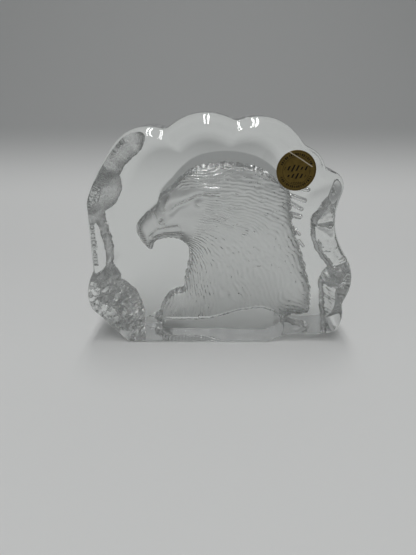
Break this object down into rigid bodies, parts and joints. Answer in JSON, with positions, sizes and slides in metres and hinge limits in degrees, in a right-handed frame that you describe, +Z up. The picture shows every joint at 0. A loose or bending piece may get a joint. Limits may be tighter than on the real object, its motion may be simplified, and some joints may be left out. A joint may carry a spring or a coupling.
{
  "type": "crystal eagle head figurine",
  "caption": "Clear crystal block with a scalloped, flaked rim and a frosted eagle's head sunk into its back, with a round foil seal on the polished front; stands on its flat foot.",
  "frame": {"origin": "bottom centre of the whole piece: the middle of its width and depth, on the plane that it stands on", "axes": "+X to the right of a viewer in front, along the width; +Y from the polished front to the carved back; +Z up"},
  "size_m": [0.1304, 0.0384, 0.1107],
  "materials": {
    "clear_crystal": "polished, with the sunk head frosted",
    "gold_foil": "satin dark gold foil"
  },
  "bodies": {
    "root": {"crystal_block": "clear_crystal", "foil_seal": "gold_foil"}
  },
  "joints": []
}
